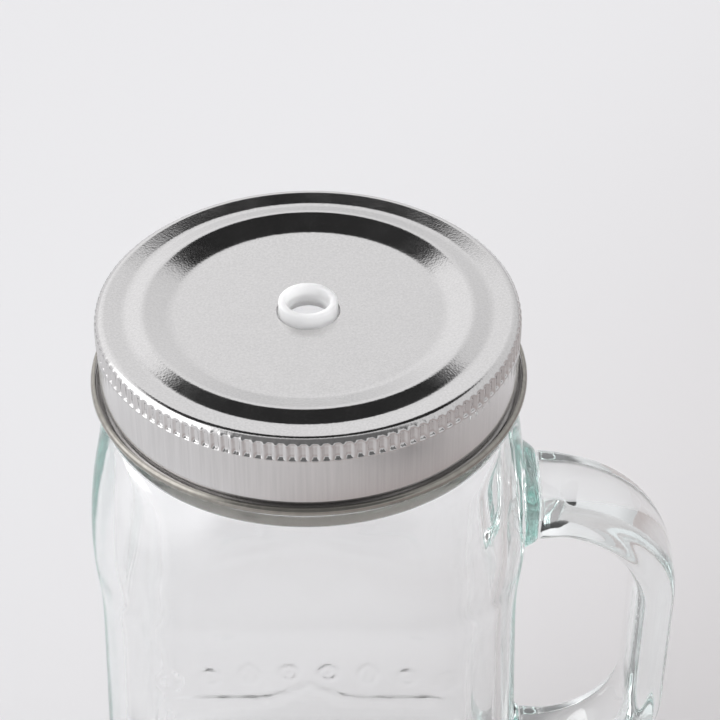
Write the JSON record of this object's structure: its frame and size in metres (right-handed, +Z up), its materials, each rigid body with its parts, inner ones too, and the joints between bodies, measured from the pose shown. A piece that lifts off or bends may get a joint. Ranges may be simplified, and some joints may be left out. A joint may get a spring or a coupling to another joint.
{
  "type": "drinking jar with handle",
  "caption": "Square glass drinking jar with a moulded side handle, a knurled twist-off metal lid, a liner ring and a straw grommet.",
  "frame": {"origin": "middle of the bounding box's footprint, on the plane the jar stands on; the jar's own axis is 14.55 mm to -X of it", "axes": "+Z up through the lid, +X towards the handle, -Y out of the jar's front face"},
  "size_m": [0.1028, 0.0738, 0.1399],
  "materials": {
    "glass": "clear soda-lime pressed glass with a faint green tint where it is thick",
    "tinplate": "satin tinplate, slightly brushed",
    "liner": "matt off-white plastisol",
    "grommet": "translucent white soft plastic"
  },
  "bodies": {
    "jar": {"jar_body": "glass", "jar_handle": "glass"},
    "liner": {"seal_ring": "liner"},
    "lid": {"lid_shell": "tinplate", "straw_grommet": "grommet"}
  },
  "joints": [
    {"name": "lid_rise", "type": "slide", "parent": "jar", "child": "liner", "axis": [0, 0, 1], "range_m": [0, 0.0186]},
    {"name": "lid_turn", "type": "hinge", "parent": "liner", "child": "lid", "pos_m": [-0.01455, 0, 0.13], "axis": [0, 0, 1], "range_deg": [0, 450]}
  ],
  "couplings": [
    {"joint": "lid_rise", "follows": "lid_turn", "m_per_rad": 0.0022282}
  ]
}
